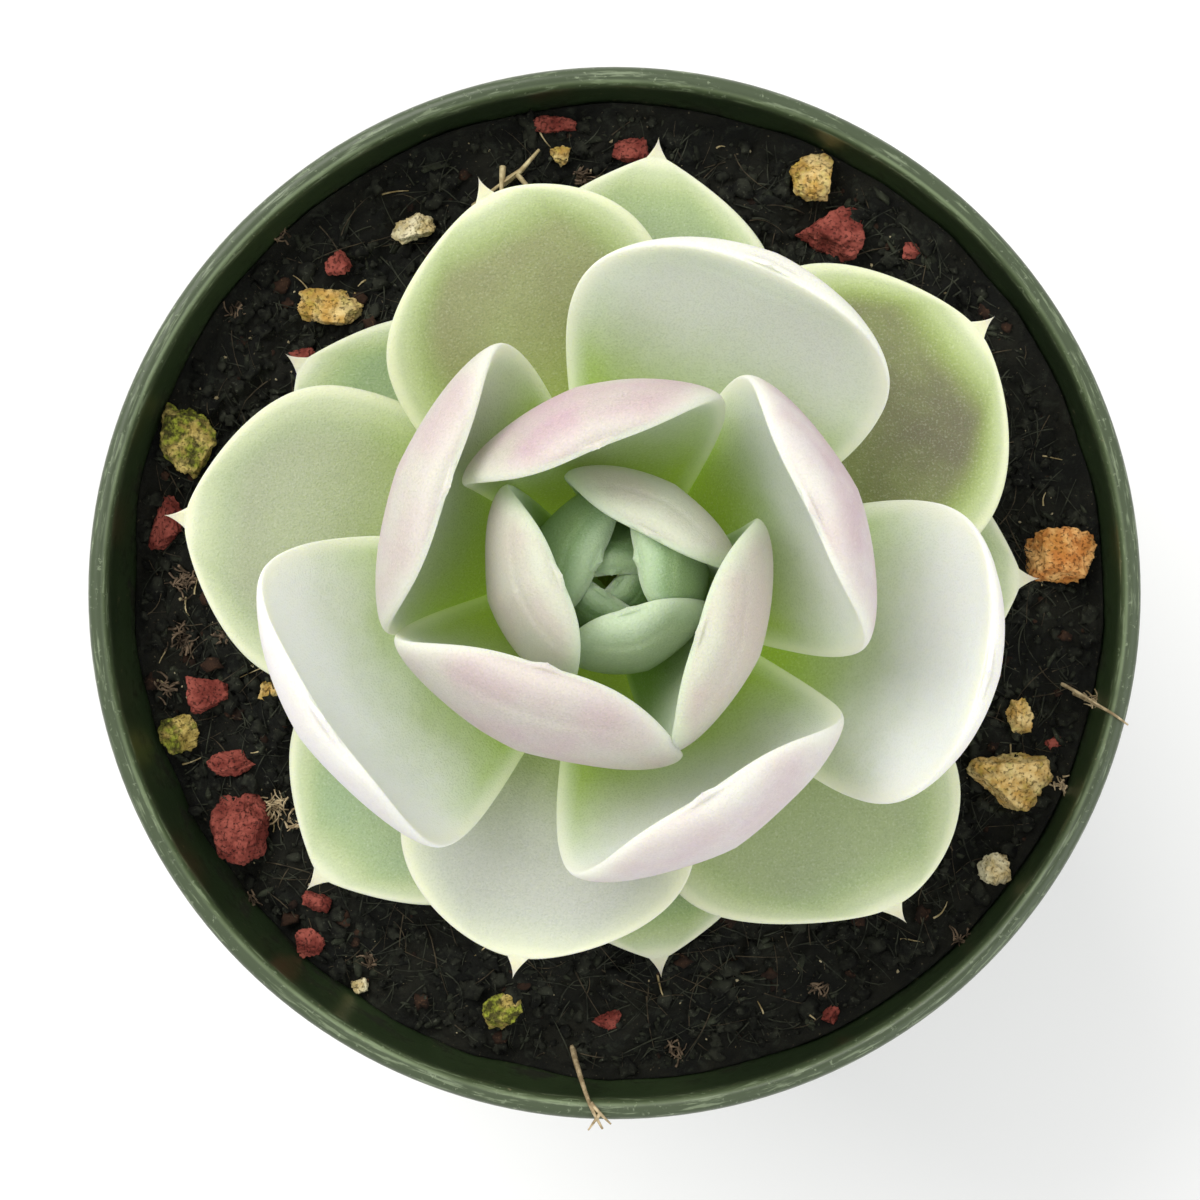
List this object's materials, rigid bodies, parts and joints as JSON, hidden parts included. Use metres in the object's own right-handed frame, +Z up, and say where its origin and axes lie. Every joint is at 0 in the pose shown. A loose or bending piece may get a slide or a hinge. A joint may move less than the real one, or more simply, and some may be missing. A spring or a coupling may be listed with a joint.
{
  "type": "potted succulent",
  "caption": "Rosette succulent with thick spoon-shaped pointed leaves in a round, slightly tapered nursery pot filled with dark mix and gravel chips.",
  "frame": {"origin": "on the pot's axis, in the plane of the foot that the pot stands on", "axes": "+Z up along the pot's axis, +X to the right and +Y away from a viewer at the front"},
  "size_m": [0.102, 0.102, 0.1239],
  "materials": {
    "pot": "dark green injection-moulded plastic, satin, dusty along the lip",
    "soil": "moist dark potting mix with fibres",
    "stem": "pale green plant stem with brown roots",
    "outer_leaf": "waxy pale green leaf with a cream margin and a fine bloom",
    "middle_leaf": "waxy pale leaf with a lavender-pink bloom on its back",
    "bud_leaf": "waxy fresh green leaf of the bud",
    "lava_chip": "porous red lava stone",
    "pumice_chip": "porous yellow pumice",
    "amber_chip": "rough orange clay granule",
    "pale_chip": "porous pale pumice",
    "moss_chip": "stone grown over with yellow-green moss"
  },
  "bodies": {
    "root": {"pot": "pot", "soil": "soil", "stem": "stem", "leaf_01": "outer_leaf", "leaf_02": "outer_leaf", "leaf_03": "outer_leaf", "leaf_04": "outer_leaf", "leaf_05": "outer_leaf", "leaf_06": "outer_leaf", "leaf_07": "outer_leaf", "leaf_08": "outer_leaf", "leaf_09": "outer_leaf", "leaf_10": "outer_leaf", "leaf_11": "middle_leaf", "leaf_12": "middle_leaf", "leaf_13": "middle_leaf", "leaf_14": "middle_leaf", "leaf_15": "middle_leaf", "leaf_16": "middle_leaf", "leaf_17": "middle_leaf", "leaf_18": "middle_leaf", "leaf_19": "bud_leaf", "leaf_20": "bud_leaf", "leaf_21": "bud_leaf", "leaf_22": "bud_leaf", "leaf_23": "bud_leaf", "leaf_24": "bud_leaf", "leaf_25": "bud_leaf", "leaf_26": "bud_leaf", "leaf_27": "bud_leaf", "chip_01": "lava_chip", "chip_02": "pumice_chip", "chip_03": "lava_chip", "chip_04": "pale_chip", "chip_05": "pumice_chip", "chip_06": "lava_chip", "chip_07": "lava_chip", "chip_08": "moss_chip", "chip_09": "lava_chip", "chip_10": "pumice_chip", "chip_11": "lava_chip", "chip_12": "lava_chip", "chip_13": "amber_chip", "chip_14": "pumice_chip", "chip_15": "lava_chip", "chip_16": "pumice_chip", "chip_17": "pale_chip", "chip_18": "lava_chip", "chip_19": "moss_chip", "chip_20": "lava_chip", "chip_21": "pumice_chip", "chip_22": "lava_chip", "chip_23": "lava_chip", "chip_24": "lava_chip", "chip_25": "pale_chip", "chip_26": "moss_chip", "chip_27": "lava_chip", "chip_28": "lava_chip"}
  },
  "joints": []
}
